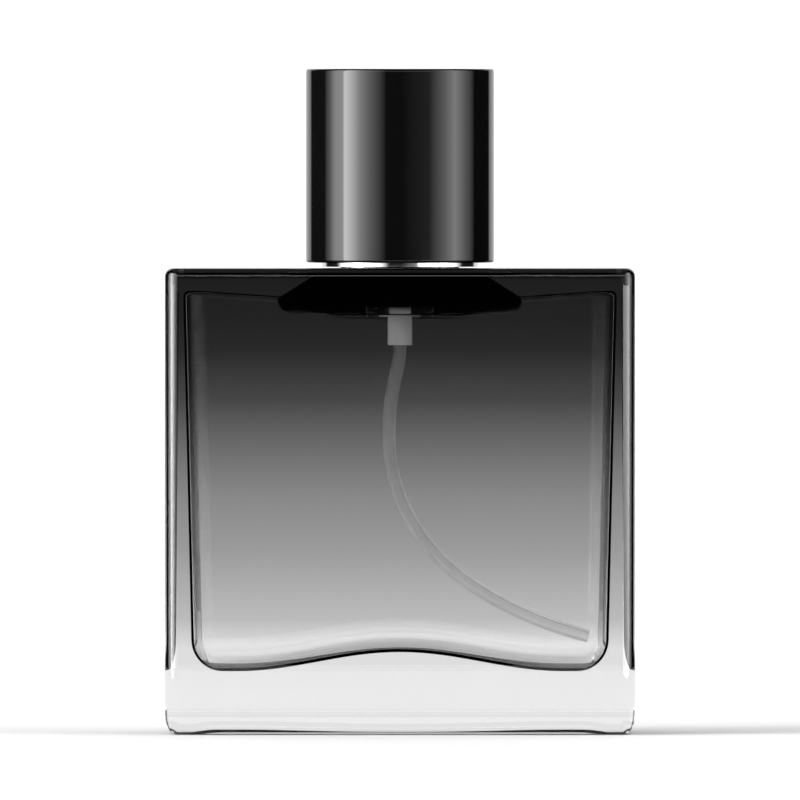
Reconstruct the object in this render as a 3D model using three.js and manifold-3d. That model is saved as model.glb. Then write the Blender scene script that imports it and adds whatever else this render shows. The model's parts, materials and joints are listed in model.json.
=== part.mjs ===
// A rectangular glass aftershave bottle with a crimped spray pump, a metal collar and a pull-off cap.
// Millimetres. X runs across the front, Y towards the back, Z up; the origin is under the centre.
import * as THREE from "three";
import { mergeVertices } from "three/addons/utils/BufferGeometryUtils.js";
import Module from "manifold-3d";

const wasm = await Module();
wasm.setup();
const radians = THREE.MathUtils.degToRad;

// Driving dimensions: glass body.
const BODY_WIDTH = 74;
const BODY_DEPTH = 36;
const BODY_HEIGHT = 73.4;
const BODY_EDGE_RADIUS = 2.4;
const SHOULDER_RADIUS = 1.3;
const HEEL_RADIUS_SIDE = 1.7;
const HEEL_RADIUS_FACE = 3.5;
const BASE_RIM_WIDTH = 5;
const BASE_RECESS_DEPTH = 0.8;
const BASE_RECESS_SLOPE = 1.2;

// Glass thicknesses round the liquid space.
const FACE_WALL = 3.5;
const SIDE_WALL_TOP = 3.1;
const SIDE_WALL_BOTTOM = 4.35;
const CAVITY_EDGE_RADIUS = 4;
const FLOOR_GLASS = 9.94;
const FLOOR_SWELL = 3;
const FLOOR_VALLEY_INSET = 7.1;
const FLOOR_FILLET = 5;
const SHOULDER_GLASS = 3.7;
const CEILING_FILLET = 0.8;
const BOSS_GLASS = 7.3;
const BOSS_RADIUS = 19.3;
const BOSS_ROUNDING = 2.4;

// Neck finish for a 20 mm crimp.
const NECK_RADIUS = 8.75;
const BEAD_RADIUS = 9.95;
const BEAD_HEIGHT = 3.4;
const BEAD_CHAMFER = 0.5;
const NECK_HEIGHT = 9.2;
const THROAT_RADIUS = 6;

// Pump.
const PRESS_STROKE = 4;
const VALVE_SLIP = 0.3;
const GASKET_THICKNESS = 1.18;
const HOUSING_FLANGE = 1;
const HOUSING_RIM_HEIGHT = 2.2;
const RIM_WALL = 2;
const BARREL_BORE = 2.8;
const BARREL_WALL = 1;
const BARREL_TAPER = 0.6;
const TAIL_WALL = 0.89;
const TAIL_LENGTH = 7.8;
const INLET_BORE = 0.6;
const INLET_LENGTH = 2.2;
const BALL_RADIUS = 1.2;
const BALL_LIFT = 0.5;
const BALL_SEAT_ANGLE = 42;
const BALL_SIDE_GAP = 0.3;
const BALL_GATE_GRIP = 0.2;
const BALL_GATE_HEIGHT = 0.6;
const SPRING_WIRE_RADIUS = 0.225;
const SPRING_TURNS = 6;
const SPRING_RESERVE = 1.2;
const STEM_RADIUS = 1.5;
const STEM_BORE = 0.7;
const STEM_FLANGE = 1;
const STEM_TAIL = 0.2;
const PISTON_HEIGHT = 3.4;
const PISTON_LIP = 0.8;
const PISTON_RELIEF = 0.4;
const PISTON_CHAMFER = 0.3;
const VALVE_FLANGE = 1;
const VALVE_PIN_RADIUS = 1.2;
const VALVE_PIN_CHAMFER = 0.4;
const VALVE_TIP_HEIGHT = 1.7;
const VALVE_TIP_CONE = 0.3;
const SEAL_THICKNESS = 0.6;
const TURRET_WALL = 0.45;
const TURRET_TOP = 0.55;
const FERRULE_SHEET = 0.4;
const FERRULE_HEM_DEPTH = 1;
const FERRULE_HEM_GAP = 0.12;

// Dip tube.
const TUBE_RADIUS = 1.025;
const TUBE_BORE = 0.65;
const TUBE_SOCKET_DEPTH = 6.8;
const TUBE_LEAN = 14;
const TUBE_LEAN_START = 2;
const TUBE_DROP = 31;
const TUBE_END_SLOPE = 16;
const TUBE_END_RUN = 11;
const TUBE_END_TO_WALL = 2.7;
const TUBE_END_TO_FLOOR = 5.26;

// Finger button.
const BUTTON_SKIRT_WALL = 0.55;
const BUTTON_BOSS_WALL = 1.1;
const BUTTON_SHELL_WALL = 0.4;
const STEM_GRIP = 3.6;
const BUTTON_ROOF_BELOW_STEM = 0.4;
const DUCT_ABOVE_STEM = 0.7;
const BUTTON_ABOVE_NOZZLE = 2.7;
const NOZZLE_RADIUS = 1.45;
const NOZZLE_WALL = 0.35;
const NOZZLE_FACE = 0.6;
const NOZZLE_LENGTH = 2.25;
const NOZZLE_ORIFICE = 0.2;
const NOZZLE_DISH_WIDTH = 0.4;
const NOZZLE_DISH_DEPTH = 0.2;
const NOZZLE_WINDOW_RIM = 0.55;
const SPRAY_DUCT = 0.27;

// Collar.
const COLLAR_SHELL_WALL = 0.5;
const COLLAR_INSERT_WALL = 1;
const COLLAR_ABOVE_BUTTON_SKIRT = 1;
const COLLAR_RIB_COUNT = 6;
const COLLAR_RIB_WIDTH = 1.2;

// Cap.
const CAP_REVEAL = 0.8;
const CAP_SHELL_WALL = 0.95;
const CAP_SHELL_TOP = 1.1;
const CAP_EDGE_RADIUS = 0.4;
const CAP_LINER_WALL = 1.4;
const CAP_LINER_TOP = 1.1;
const CAP_LINER_STEP = 0.4;
const CAP_HEADROOM = 1.4;
const CAP_RIB_COUNT = 8;
const CAP_RIB_WIDTH = 1.2;

// Clearances.
const SEAT_GAP = 0.02;
const RUNNING_GAP = 0.05;
const PART_GAP = 0.15;
const SKIRT_GAP = 0.35;
const COLLAR_GAP = 0.25;
const COLLAR_HOLE_GAP = 0.5;
const CAP_RIB_GAP = 0.06;
const SPRING_GAP = 0.275;
const FLANGE_INSET = 0.65;

// Fineness of the curved surfaces.
const LARGE = 48;
const MEDIUM = 36;
const SMALL = 24;
const CHANNEL = 12;
const DUCT = 8;
const BALL_SIDES = 16;
const BALL_RINGS = 10;
const TUBE_SIDES = 10;
const TUBE_STEPS = 36;
const WIRE_SIDES = 6;
const STEPS_PER_TURN = 14;
const CORNER_STEPS = 5;
const EDGE_STEPS = 4;
const CAVITY_SIDE_STEPS = 12;
const FLOOR_RING_SHARES = [0.25, 0.5, 0.75];
const LEAST_CORNER = 0.2;
const BURIED = 1;
const MERGE_TOLERANCE = 1e-3;

// Heights that follow from the stack of parts on the neck, from the glass upwards.
const neckTop = BODY_HEIGHT + NECK_HEIGHT;
const beadBottom = neckTop - BEAD_HEIGHT;
const gasketBottom = neckTop + SEAT_GAP;
const gasketTop = gasketBottom + GASKET_THICKNESS;
const flangeBottom = gasketTop + SEAT_GAP;
const flangeTop = flangeBottom + HOUSING_FLANGE;
const ferruleUnderside = flangeTop + SEAT_GAP;
const ferruleShelf = ferruleUnderside + FERRULE_SHEET;
const housingTop = flangeTop + HOUSING_RIM_HEIGHT;
const sealBottom = housingTop + SEAT_GAP;
const sealTop = sealBottom + SEAL_THICKNESS;
const turretCeiling = sealTop + SEAT_GAP;
const turretTop = turretCeiling + TURRET_TOP;
const ferruleCeiling = turretTop + SEAT_GAP;
const ferruleTop = ferruleCeiling + FERRULE_SHEET;

// Heights of the moving pump parts at rest, from the stem's flange downwards.
const stemFlangeTop = sealBottom - SEAT_GAP;
const stemFlangeBottom = stemFlangeTop - STEM_FLANGE;
const pistonTop = stemFlangeBottom - SEAT_GAP;
const pistonBottom = pistonTop - PISTON_HEIGHT;
const stemBottom = pistonBottom - STEM_TAIL;
const valveTop = stemBottom - SEAT_GAP;
const valveBottom = valveTop - VALVE_FLANGE;
const springTop = valveBottom - SEAT_GAP;
const springSolid = SPRING_TURNS * 2 * SPRING_WIRE_RADIUS;
const springLedge = springTop - springSolid - PRESS_STROKE - VALVE_SLIP - SPRING_RESERVE;
const springBottom = springLedge + SEAT_GAP;

// The ball rests in a conical seat, and lifts until the narrower gate above it stops it.
const ballGateRadius = BALL_RADIUS - BALL_GATE_GRIP;
const ballChamberRadius = BALL_RADIUS + BALL_SIDE_GAP;
const chamberTop = springLedge - BALL_GATE_HEIGHT;
const ballAtGate = chamberTop - Math.sqrt(BALL_RADIUS ** 2 - ballGateRadius ** 2);
const ballCentre = ballAtGate - BALL_LIFT - RUNNING_GAP;
const seatSlope = radians(BALL_SEAT_ANGLE);
const seatApex = ballCentre - SEAT_GAP - BALL_RADIUS / Math.sin(seatSlope);
const seatTop = seatApex + ballChamberRadius / Math.tan(seatSlope);
const seatBottom = seatApex + INLET_BORE / Math.tan(seatSlope);

// Heights of the inlet and the tail, below the seat.
const socketTop = seatBottom - INLET_LENGTH;
const tailBottom = socketTop - TUBE_SOCKET_DEPTH;
const barrelBottom = tailBottom + TAIL_LENGTH;

// Heights of the button, collar and cap.
const buttonBottom = ferruleShelf + PRESS_STROKE + SKIRT_GAP;
const bossBottom = ferruleTop + PRESS_STROKE + PART_GAP;
const stemTop = bossBottom + STEM_GRIP;
const ductHeight = stemTop + DUCT_ABOVE_STEM;
const nozzlePocketRadius = NOZZLE_RADIUS + RUNNING_GAP;
const nozzleBore = NOZZLE_RADIUS - NOZZLE_WALL;
const nozzlePostRadius = nozzleBore - PART_GAP;
const nozzleHeight = ductHeight + (nozzlePostRadius + nozzlePocketRadius) / 2;
const buttonShellTop = nozzleHeight + BUTTON_ABOVE_NOZZLE;
const buttonTop = buttonShellTop - BUTTON_SHELL_WALL - SEAT_GAP;
const collarTop = buttonBottom + COLLAR_ABOVE_BUTTON_SKIRT;
const collarBottom = BODY_HEIGHT + PART_GAP;
const capBottom = BODY_HEIGHT + CAP_REVEAL;
const linerCeiling = buttonShellTop + CAP_HEADROOM;
const linerTop = linerCeiling + CAP_LINER_TOP;
const capCeiling = linerTop + PART_GAP;
const capTop = capCeiling + CAP_SHELL_TOP;

// Radii inside the barrel, and of the tail and its socket for the tube.
const pistonRadius = BARREL_BORE - RUNNING_GAP;
const stemFlangeRadius = BARREL_BORE - 2 * PART_GAP;
const valveFlangeRadius = BARREL_BORE - SPRING_GAP - SPRING_WIRE_RADIUS;
const springMeanRadius = BARREL_BORE - SPRING_GAP - SPRING_WIRE_RADIUS;
const valveTipRadius = STEM_BORE - 2 * RUNNING_GAP;
const tubeSocketRadius = TUBE_RADIUS + SEAT_GAP;
const tailRadius = tubeSocketRadius + TAIL_WALL;

// Radii of the parts round the barrel, outwards to the cap.
const barrelRadius = BARREL_BORE + BARREL_WALL;
const rimRadius = BARREL_BORE + RIM_WALL;
const gasketBore = barrelRadius + PART_GAP;
const gasketRadius = BEAD_RADIUS - BEAD_CHAMFER;
const housingFlangeRadius = gasketRadius - FLANGE_INSET;
const turretBore = rimRadius + RUNNING_GAP;
const turretRadius = turretBore + TURRET_WALL;
const pedestalBore = turretRadius + PART_GAP;
const pedestalRadius = pedestalBore + FERRULE_SHEET;
const pedestalHoleRadius = STEM_RADIUS + BUTTON_BOSS_WALL;
const ferruleSkirtBore = BEAD_RADIUS + PART_GAP;
const ferruleSkirtRadius = ferruleSkirtBore + FERRULE_SHEET;
const ferruleHemRadius = NECK_RADIUS + FERRULE_SHEET;
const buttonSkirtBore = pedestalRadius + PART_GAP;
const buttonRadius = buttonSkirtBore + BUTTON_SKIRT_WALL;
const buttonShellBore = buttonRadius + RUNNING_GAP;
const buttonShellRadius = buttonShellBore + BUTTON_SHELL_WALL;
const collarHoleRadius = buttonShellRadius + COLLAR_HOLE_GAP;
const collarInsertBore = ferruleSkirtRadius + COLLAR_GAP;
const collarInsertRadius = collarInsertBore + COLLAR_INSERT_WALL;
const collarShellBore = collarInsertRadius + RUNNING_GAP;
const collarRadius = collarShellBore + COLLAR_SHELL_WALL;
const linerSkirtBore = collarRadius + PART_GAP;
const linerBore = linerSkirtBore - CAP_LINER_STEP;
const linerRadius = linerSkirtBore + CAP_LINER_WALL;
const linerStep = collarTop + PART_GAP;
const capShellBore = linerRadius + RUNNING_GAP;
const capRadius = capShellBore + CAP_SHELL_WALL;

// Half sizes of the liquid space.
const cavityHalfDepth = BODY_DEPTH / 2 - FACE_WALL;
const cavityHalfWidthTop = BODY_WIDTH / 2 - SIDE_WALL_TOP;
const cavityHalfWidthBottom = BODY_WIDTH / 2 - SIDE_WALL_BOTTOM;
const cavityCeiling = BODY_HEIGHT - SHOULDER_GLASS;
const bossUnderside = BODY_HEIGHT - BOSS_GLASS;

const material = (color, roughness, metalness) =>
  new THREE.MeshStandardMaterial({ color, roughness, metalness });

const shadedGlass = material(0x3b4045, 0.05, 0);
const glossBlack = material(0x070708, 0.08, 0);
const blackLiner = material(0x151516, 0.45, 0);
const polishedMetal = material(0xc9cbcd, 0.12, 1);
const satinAluminium = material(0xb9bbbd, 0.35, 1);
const springSteel = material(0x9a9c9f, 0.3, 1);
const whitePlastic = material(0xe6e6e2, 0.4, 0);
const clearPlastic = material(0xc8cbcc, 0.3, 0);
const sealRubber = material(0x2a2a2b, 0.8, 0);

// Points of an arc in a [radius, height] profile, from one angle to another, in degrees.
function arc(centreRadius, centreHeight, radius, from, to, steps = EDGE_STEPS) {
  return Array.from({ length: steps + 1 }, (_, step) => {
    const angle = radians(from + ((to - from) * step) / steps);
    return [centreRadius + radius * Math.cos(angle), centreHeight + radius * Math.sin(angle)];
  });
}

// A solid of revolution about Z. Its [radius, height] profile runs counter-clockwise.
function turned(profile, segments) {
  const points = profile.map(([radius, height]) => new THREE.Vector2(radius, height));
  const touchesAxis = profile[0][0] === 0;
  if (!touchesAxis) points.push(points[0].clone());
  const geometry = new THREE.LatheGeometry(points, segments);
  return geometry.rotateX(Math.PI / 2);
}

// A straight round rod on the Z axis.
function rod(radius, bottom, top, segments) {
  const profile = [[0, bottom], [radius, bottom], [radius, top], [0, top]];
  return turned(profile, segments);
}

// Lays a shape made along Z so that its top faces the front, at the nozzle's height.
function facingFront(geometry) {
  return geometry.rotateX(Math.PI / 2).translate(0, 0, nozzleHeight);
}

function toSolid(geometry) {
  const bare = geometry.clone();
  bare.deleteAttribute("normal");
  bare.deleteAttribute("uv");
  const merged = mergeVertices(bare, MERGE_TOLERANCE);
  const vertProperties = merged.attributes.position.array;
  const triVerts = new Uint32Array(merged.index.array);
  return new wasm.Manifold(new wasm.Mesh({ numProp: 3, vertProperties, triVerts }));
}

function toGeometry(solid) {
  const mesh = solid.getMesh();
  const geometry = new THREE.BufferGeometry();
  geometry.setAttribute("position", new THREE.BufferAttribute(mesh.vertProperties, 3));
  geometry.setIndex(new THREE.BufferAttribute(mesh.triVerts, 1));
  geometry.computeVertexNormals();
  return geometry;
}

// One level ring of a rounded rectangle, counter-clockwise from above. The height may vary with x.
function roundedRing(halfX, halfY, cornerRadius, heightAt, sideSteps = 1) {
  const radius = Math.max(cornerRadius, LEAST_CORNER);
  const ring = [];
  const add = (x, y) => ring.push(new THREE.Vector3(x, y, heightAt(x)));
  const corners = [[1, 1], [-1, 1], [-1, -1], [1, -1]];
  corners.forEach(([signX, signY], corner) => {
    const centreX = signX * (halfX - radius);
    const centreY = signY * (halfY - radius);
    for (let step = 0; step <= CORNER_STEPS; step++) {
      const angle = (corner + step / CORNER_STEPS) * (Math.PI / 2);
      add(centreX + radius * Math.cos(angle), centreY + radius * Math.sin(angle));
    }
    const longSideFollows = corner % 2 === 0;
    for (let step = 1; longSideFollows && step < sideSteps; step++) {
      add(centreX * (1 - (2 * step) / sideSteps), signY * halfY);
    }
  });
  return ring;
}

// Skins a stack of rings, lowest first, and closes each end on a centre point.
function lofted(rings, lowCentreHeight, highCentreHeight) {
  const count = rings[0].length;
  const points = rings.flat();
  const low = points.push(new THREE.Vector3(0, 0, lowCentreHeight)) - 1;
  const high = points.push(new THREE.Vector3(0, 0, highCentreHeight)) - 1;
  const faces = [];
  const lastRing = (rings.length - 1) * count;
  for (let i = 0; i < count; i++) {
    const next = (i + 1) % count;
    faces.push(low, next, i);
    faces.push(high, lastRing + i, lastRing + next);
    for (let ring = 0; ring < lastRing; ring += count) {
      faces.push(ring + i, ring + next, ring + count + next);
      faces.push(ring + i, ring + count + next, ring + count + i);
    }
  }
  const geometry = new THREE.BufferGeometry().setFromPoints(points);
  geometry.setIndex(faces);
  geometry.computeVertexNormals();
  return geometry;
}

// A round wire or tube along a curve.
function swept(curve, radius, bore, sides, steps) {
  const circle = (r) => new THREE.Path().absarc(0, 0, r, 0, 2 * Math.PI);
  const section = new THREE.Shape(circle(radius).getPoints(sides / 2).slice(0, -1));
  if (bore > 0) section.holes.push(new THREE.Path(circle(bore).getPoints(sides / 2).slice(0, -1)));
  return new THREE.ExtrudeGeometry(section, { steps, extrudePath: curve, bevelEnabled: false });
}

// Upright ribs, evenly spaced round the inside of a bore.
function innerRibs(count, width, innerRadius, outerRadius, bottom, top) {
  return Array.from({ length: count }, (_, index) =>
    toSolid(
      new THREE.BoxGeometry(outerRadius - innerRadius, width, top - bottom)
        .translate((innerRadius + outerRadius) / 2, 0, (bottom + top) / 2)
        .rotateZ(((index + 0.5) * 2 * Math.PI) / count),
    ),
  );
}

// Height of the liquid space's floor: a low swell in the middle and a valley towards each side.
const valleyX = cavityHalfWidthBottom - FLOOR_VALLEY_INSET;
function floorHeight(x) {
  const phase = Math.PI * Math.min(Math.abs(x) / valleyX, 1);
  return FLOOR_GLASS + FLOOR_SWELL * 0.5 * (1 + Math.cos(phase));
}

function bodyRing(insetX, insetY, height) {
  const cornerRadius = BODY_EDGE_RADIUS - Math.min(insetX, insetY);
  return roundedRing(BODY_WIDTH / 2 - insetX, BODY_DEPTH / 2 - insetY, cornerRadius, () => height);
}

// The outside of the glass below the neck, with its recessed base.
function bodyBlock() {
  const rings = [];
  const rimInner = BASE_RIM_WIDTH + BASE_RECESS_SLOPE;
  rings.push(bodyRing(HEEL_RADIUS_SIDE + rimInner, HEEL_RADIUS_FACE + rimInner, BASE_RECESS_DEPTH));
  rings.push(bodyRing(HEEL_RADIUS_SIDE + BASE_RIM_WIDTH, HEEL_RADIUS_FACE + BASE_RIM_WIDTH, 0));
  for (let step = 0; step <= EDGE_STEPS; step++) {
    const angle = (step / EDGE_STEPS) * (Math.PI / 2);
    const inset = 1 - Math.sin(angle);
    const rise = HEEL_RADIUS_FACE * (1 - Math.cos(angle));
    rings.push(bodyRing(HEEL_RADIUS_SIDE * inset, HEEL_RADIUS_FACE * inset, rise));
  }
  for (let step = 0; step <= EDGE_STEPS; step++) {
    const angle = (step / EDGE_STEPS) * (Math.PI / 2);
    const inset = SHOULDER_RADIUS * (1 - Math.cos(angle));
    const rise = SHOULDER_RADIUS * Math.sin(angle);
    rings.push(bodyRing(inset, inset, BODY_HEIGHT - SHOULDER_RADIUS + rise));
  }
  return lofted(rings, BASE_RECESS_DEPTH, BODY_HEIGHT);
}

function cavityRing(halfWidth, inset, heightAt, share = 1) {
  return roundedRing(
    (halfWidth - inset) * share,
    (cavityHalfDepth - inset) * share,
    (CAVITY_EDGE_RADIUS - inset) * share,
    heightAt,
    CAVITY_SIDE_STEPS,
  );
}

// The liquid space, without the boss that hangs into it under the neck.
function cavityBlock() {
  const rings = [];
  for (const share of FLOOR_RING_SHARES) {
    rings.push(cavityRing(cavityHalfWidthBottom, FLOOR_FILLET, floorHeight, share));
  }
  for (let step = 0; step <= EDGE_STEPS; step++) {
    const angle = (step / EDGE_STEPS) * (Math.PI / 2);
    const inset = FLOOR_FILLET * (1 - Math.sin(angle));
    const rise = FLOOR_FILLET * (1 - Math.cos(angle));
    rings.push(cavityRing(cavityHalfWidthBottom, inset, (x) => floorHeight(x) + rise));
  }
  for (let step = 0; step <= EDGE_STEPS; step++) {
    const angle = (step / EDGE_STEPS) * (Math.PI / 2);
    const inset = CEILING_FILLET * (1 - Math.cos(angle));
    const height = cavityCeiling - CEILING_FILLET * (1 - Math.sin(angle));
    rings.push(cavityRing(cavityHalfWidthTop, inset, () => height));
  }
  return lofted(rings, floorHeight(0), cavityCeiling);
}

function glassBottle() {
  const boss = turned(
    [
      [0, bossUnderside],
      ...arc(BOSS_RADIUS - BOSS_ROUNDING, bossUnderside + BOSS_ROUNDING, BOSS_ROUNDING, -90, 0),
      [cavityHalfWidthTop, cavityCeiling],
      [cavityHalfWidthTop, cavityCeiling + PART_GAP],
      [0, cavityCeiling + PART_GAP],
    ],
    LARGE,
  );
  const neck = turned(
    [
      [0, BODY_HEIGHT - BURIED],
      [NECK_RADIUS, BODY_HEIGHT - BURIED],
      [NECK_RADIUS, beadBottom],
      [BEAD_RADIUS, beadBottom + BEAD_CHAMFER],
      [BEAD_RADIUS, neckTop - BEAD_CHAMFER],
      [BEAD_RADIUS - BEAD_CHAMFER, neckTop],
      [0, neckTop],
    ],
    LARGE,
  );
  const throat = rod(THROAT_RADIUS, bossUnderside - BURIED, neckTop + BURIED, MEDIUM);
  const hollow = toSolid(cavityBlock()).subtract(toSolid(boss)).add(toSolid(throat));
  return toGeometry(toSolid(bodyBlock()).add(toSolid(neck)).subtract(hollow));
}

function neckGasket() {
  return turned(
    [
      [gasketBore, gasketBottom],
      [gasketRadius, gasketBottom],
      [gasketRadius, gasketTop],
      [gasketBore, gasketTop],
    ],
    MEDIUM,
  );
}

// Thin aluminium: a skirt tucked under the neck bead, a flat shelf and a pedestal over the turret.
function crimpFerrule() {
  const hemBottom = beadBottom - FERRULE_HEM_DEPTH;
  return turned(
    [
      [ferruleHemRadius, hemBottom],
      [ferruleSkirtRadius, beadBottom - FERRULE_SHEET],
      [ferruleSkirtRadius, ferruleUnderside],
      [ferruleSkirtRadius - FERRULE_SHEET, ferruleShelf],
      [pedestalRadius, ferruleShelf],
      [pedestalRadius, ferruleCeiling],
      [pedestalRadius - FERRULE_SHEET, ferruleTop],
      [pedestalHoleRadius, ferruleTop],
      [pedestalHoleRadius, ferruleCeiling],
      [pedestalBore, ferruleCeiling],
      [pedestalBore, ferruleUnderside],
      [ferruleSkirtBore, ferruleUnderside],
      [ferruleSkirtBore, beadBottom - FERRULE_HEM_GAP],
      [ferruleHemRadius, hemBottom + FERRULE_SHEET],
    ],
    MEDIUM,
  );
}

function pumpHousing() {
  const shoulder = barrelRadius - tailRadius;
  return turned(
    [
      [tubeSocketRadius, tailBottom],
      [tailRadius, tailBottom],
      [tailRadius, barrelBottom],
      [barrelRadius, barrelBottom + shoulder * BARREL_TAPER],
      [barrelRadius, flangeBottom],
      [housingFlangeRadius, flangeBottom],
      [housingFlangeRadius, flangeTop],
      [rimRadius, flangeTop],
      [rimRadius, housingTop],
      [BARREL_BORE, housingTop],
      [BARREL_BORE, springLedge],
      [ballGateRadius, springLedge],
      [ballGateRadius, chamberTop],
      [ballChamberRadius, chamberTop],
      [ballChamberRadius, seatTop],
      [INLET_BORE, seatBottom],
      [INLET_BORE, socketTop],
      [tubeSocketRadius, socketTop],
    ],
    SMALL,
  );
}

// The tube hangs straight out of the pump's tail, then curves down and across to the lower corner.
function dipTube() {
  const lean = radians(TUBE_LEAN);
  const slope = radians(TUBE_END_SLOPE);
  const leanDirection = new THREE.Vector3(-Math.sin(lean), 0, -Math.cos(lean));
  const endX = cavityHalfWidthBottom - TUBE_END_TO_WALL;
  const end = new THREE.Vector3(endX, 0, FLOOR_GLASS + TUBE_END_TO_FLOOR);
  const top = new THREE.Vector3(0, 0, socketTop - RUNNING_GAP);
  const mouth = new THREE.Vector3(0, 0, tailBottom);
  const corner = new THREE.Vector3(0, 0, tailBottom - TUBE_LEAN_START);
  const leaning = corner.clone().addScaledVector(leanDirection, TUBE_LEAN_START);
  const dropTo = leaning.clone().addScaledVector(leanDirection, TUBE_DROP);
  const runFrom = end.clone();
  runFrom.x -= TUBE_END_RUN * Math.cos(slope);
  runFrom.z += TUBE_END_RUN * Math.sin(slope);
  const route = new THREE.CurvePath();
  route.add(new THREE.LineCurve3(top, mouth));
  route.add(new THREE.QuadraticBezierCurve3(mouth, corner, leaning));
  route.add(new THREE.CubicBezierCurve3(leaning, dropTo, runFrom, end));
  return swept(route, TUBE_RADIUS, TUBE_BORE, TUBE_SIDES, TUBE_STEPS);
}

// A cup that closes the top of the housing and lets the stem through.
function pumpTurret() {
  const stemHole = STEM_RADIUS + PART_GAP;
  return turned(
    [
      [turretBore, ferruleUnderside],
      [turretRadius, ferruleUnderside],
      [turretRadius, turretTop],
      [stemHole, turretTop],
      [stemHole, turretCeiling],
      [turretBore, turretCeiling],
    ],
    SMALL,
  );
}

function stemSeal() {
  const bore = STEM_RADIUS + RUNNING_GAP;
  return turned(
    [
      [bore, sealBottom],
      [rimRadius, sealBottom],
      [rimRadius, sealTop],
      [bore, sealTop],
    ],
    SMALL,
  );
}

// A compression spring whose first and last turns lie almost closed.
class SpringCurve extends THREE.Curve {
  getPoint(t, target = new THREE.Vector3()) {
    const turn = t * SPRING_TURNS;
    const closedPitch = 2 * SPRING_WIRE_RADIUS + RUNNING_GAP;
    const low = springBottom + SPRING_WIRE_RADIUS;
    const high = springTop - SPRING_WIRE_RADIUS;
    const openPitch = (high - low - 2 * closedPitch) / (SPRING_TURNS - 2);
    const openTurns = THREE.MathUtils.clamp(turn - 1, 0, SPRING_TURNS - 2);
    const height = low + (turn - openTurns) * closedPitch + openTurns * openPitch;
    const angle = turn * 2 * Math.PI;
    return target.set(
      springMeanRadius * Math.cos(angle),
      springMeanRadius * Math.sin(angle),
      height,
    );
  }
}

function pumpSpring() {
  const steps = SPRING_TURNS * STEPS_PER_TURN;
  return swept(new SpringCurve(), SPRING_WIRE_RADIUS, 0, WIRE_SIDES, steps);
}

function pumpStem() {
  return turned(
    [
      [STEM_BORE, stemBottom],
      [STEM_RADIUS, stemBottom],
      [STEM_RADIUS, stemFlangeBottom],
      [stemFlangeRadius, stemFlangeBottom],
      [stemFlangeRadius, stemFlangeTop],
      [STEM_RADIUS, stemFlangeTop],
      [STEM_RADIUS, stemTop],
      [STEM_BORE, stemTop],
    ],
    SMALL,
  );
}

// The piston seals on a lip at each end and is relieved between them.
function pumpPiston() {
  const bore = STEM_RADIUS + RUNNING_GAP;
  const waist = pistonRadius - PISTON_RELIEF;
  return turned(
    [
      [bore, pistonBottom],
      [pistonRadius, pistonBottom],
      [pistonRadius, pistonBottom + PISTON_LIP],
      [waist, pistonBottom + PISTON_LIP + PISTON_CHAMFER],
      [waist, pistonTop - PISTON_LIP - PISTON_CHAMFER],
      [pistonRadius, pistonTop - PISTON_LIP],
      [pistonRadius, pistonTop],
      [bore, pistonTop],
    ],
    SMALL,
  );
}

function valveRod() {
  const pinBottom = valveBottom - springSolid + PART_GAP;
  return turned(
    [
      [0, pinBottom],
      [VALVE_PIN_RADIUS - VALVE_PIN_CHAMFER, pinBottom],
      [VALVE_PIN_RADIUS, pinBottom + VALVE_PIN_CHAMFER],
      [VALVE_PIN_RADIUS, valveBottom],
      [valveFlangeRadius, valveBottom],
      [valveFlangeRadius, valveTop],
      [valveTipRadius, valveTop],
      [valveTipRadius, valveTop + VALVE_TIP_HEIGHT - VALVE_TIP_CONE],
      [0, valveTop + VALVE_TIP_HEIGHT],
    ],
    SMALL,
  );
}

function inletBall() {
  return new THREE.SphereGeometry(BALL_RADIUS, BALL_SIDES, BALL_RINGS)
    .rotateX(Math.PI / 2)
    .translate(0, 0, ballCentre);
}

function actuatorButton() {
  const stemSocket = STEM_RADIUS + RUNNING_GAP;
  const bossRadius = STEM_RADIUS + BUTTON_BOSS_WALL;
  const socketCeiling = stemTop + RUNNING_GAP;
  const roofUnderside = stemTop - BUTTON_ROOF_BELOW_STEM;
  const pocketFloor = buttonRadius - NOZZLE_LENGTH - 2 * PART_GAP;
  const block = turned(
    [
      [0, socketCeiling],
      [stemSocket, socketCeiling],
      [stemSocket, bossBottom],
      [bossRadius, bossBottom],
      [bossRadius, roofUnderside],
      [buttonSkirtBore, roofUnderside],
      [buttonSkirtBore, buttonBottom],
      [buttonRadius, buttonBottom],
      [buttonRadius, buttonTop],
      [0, buttonTop],
    ],
    MEDIUM,
  );
  const pocket = facingFront(rod(nozzlePocketRadius, pocketFloor, buttonRadius + BURIED, SMALL));
  const postTip = buttonRadius - PART_GAP - NOZZLE_FACE - PART_GAP;
  const post = facingFront(rod(nozzlePostRadius, pocketFloor - PART_GAP, postTip, SMALL));
  const channel = rod(valveTipRadius, socketCeiling - PART_GAP, ductHeight + SPRAY_DUCT, CHANNEL);
  const duct = facingFront(rod(SPRAY_DUCT, 0, pocketFloor + PART_GAP, DUCT));
  duct.translate(0, 0, ductHeight - nozzleHeight);
  return toGeometry(
    toSolid(block)
      .subtract(toSolid(pocket).subtract(toSolid(post)))
      .subtract(toSolid(channel))
      .subtract(toSolid(duct)),
  );
}

function actuatorShell() {
  const ceiling = buttonShellTop - BUTTON_SHELL_WALL;
  const windowRadius = NOZZLE_RADIUS + NOZZLE_WINDOW_RIM;
  const sleeve = turned(
    [
      [buttonShellBore, buttonBottom],
      [buttonShellRadius, buttonBottom],
      ...arc(buttonShellBore, ceiling, BUTTON_SHELL_WALL, 0, 90),
      [0, buttonShellTop],
      [0, ceiling],
      [buttonShellBore, ceiling],
    ],
    MEDIUM,
  );
  const window = facingFront(
    rod(windowRadius, buttonShellBore - BURIED, buttonShellRadius + BURIED, SMALL),
  );
  return toGeometry(toSolid(sleeve).subtract(toSolid(window)));
}

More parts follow.
